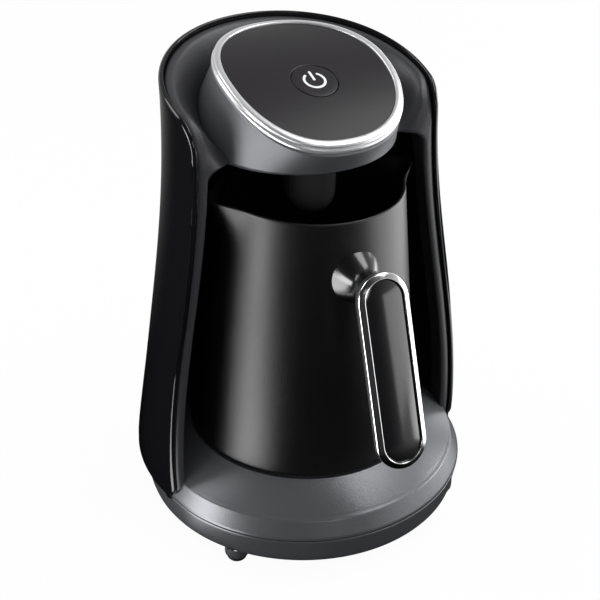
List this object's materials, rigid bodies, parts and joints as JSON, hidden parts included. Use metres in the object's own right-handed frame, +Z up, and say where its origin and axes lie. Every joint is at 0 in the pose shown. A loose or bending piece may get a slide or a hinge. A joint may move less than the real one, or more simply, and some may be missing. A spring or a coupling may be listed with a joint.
{
  "type": "electric turkish coffee maker",
  "caption": "Electric Turkish coffee maker: a pot with side spouts and a long handle stands on a round power base, under a sensing head held by a wrap-round body.",
  "frame": {"origin": "middle of the whole footprint, on the surface the feet stand on", "axes": "+Z up, -Y to the open front with the pot's handle, +X to the viewer's right when looking at the front"},
  "size_m": [0.1438, 0.1622, 0.1979],
  "materials": {
    "gloss_black": "gloss",
    "charcoal": "satin",
    "black_plastic": "matte",
    "grey_metallic": "metallic satin",
    "bright_trim": "satin",
    "panel": "semi gloss",
    "smoked_window": "gloss",
    "board_green": "satin",
    "part_dark": "matte",
    "part_light": "matte",
    "part_blue": "matte",
    "screw_steel": "satin",
    "aluminium": "satin",
    "cable_red": "matte",
    "foot_rubber": "matte",
    "seal_red": "matte",
    "pot_black": "fine textured satin",
    "brass": "satin",
    "white_mark": "satin"
  },
  "bodies": {
    "machine": {"outer_shell": "gloss_black", "front_frame": "charcoal", "cavity_liner": "black_plastic", "head_housing": "grey_metallic", "head_underside": "black_plastic", "trim_ring": "bright_trim", "top_panel": "panel", "control_board": "board_green", "tact_switch": "part_dark", "buzzer": "part_dark", "indicator_led": "part_light", "sensor_window": "smoked_window", "sensor_board": "board_green", "board_screws": "screw_steel", "head_screws": "screw_steel", "base_upper": "grey_metallic", "base_lower": "grey_metallic", "coupler_socket": "black_plastic", "coupler_screws": "screw_steel", "power_board": "board_green", "power_relay": "part_blue", "terminal_block": "part_light", "wire_loom": "cable_red", "cord_gland": "black_plastic", "foot_front_left": "foot_rubber", "foot_front_right": "foot_rubber", "foot_rear_left": "foot_rubber", "foot_rear_right": "foot_rubber", "base_screws": "screw_steel"},
    "pot": {"pot_body": "pot_black", "pot_base_cover": "black_plastic", "pot_coupler": "black_plastic", "handle_neck": "gloss_black", "handle_grip": "charcoal", "handle_trim": "bright_trim", "handle_inlay": "gloss_black", "handle_screw": "screw_steel", "heating_element": "aluminium", "heater_plate": "aluminium", "thermostat": "brass", "base_seal": "seal_red", "cover_screws": "screw_steel"},
    "button": {"button_cap": "panel", "button_icon": "white_mark", "button_carrier": "part_light", "switch_plunger": "part_light"}
  },
  "joints": [
    {"name": "pot_lift", "type": "slide", "parent": "machine", "child": "pot", "axis": [0, 0, 1], "range_m": [0, 0.011]},
    {"name": "power_button", "type": "slide", "parent": "machine", "child": "button", "axis": [0, 0.319, -0.9478], "range_m": [0, 0.0006], "stiffness_N_per_m": 900}
  ]
}
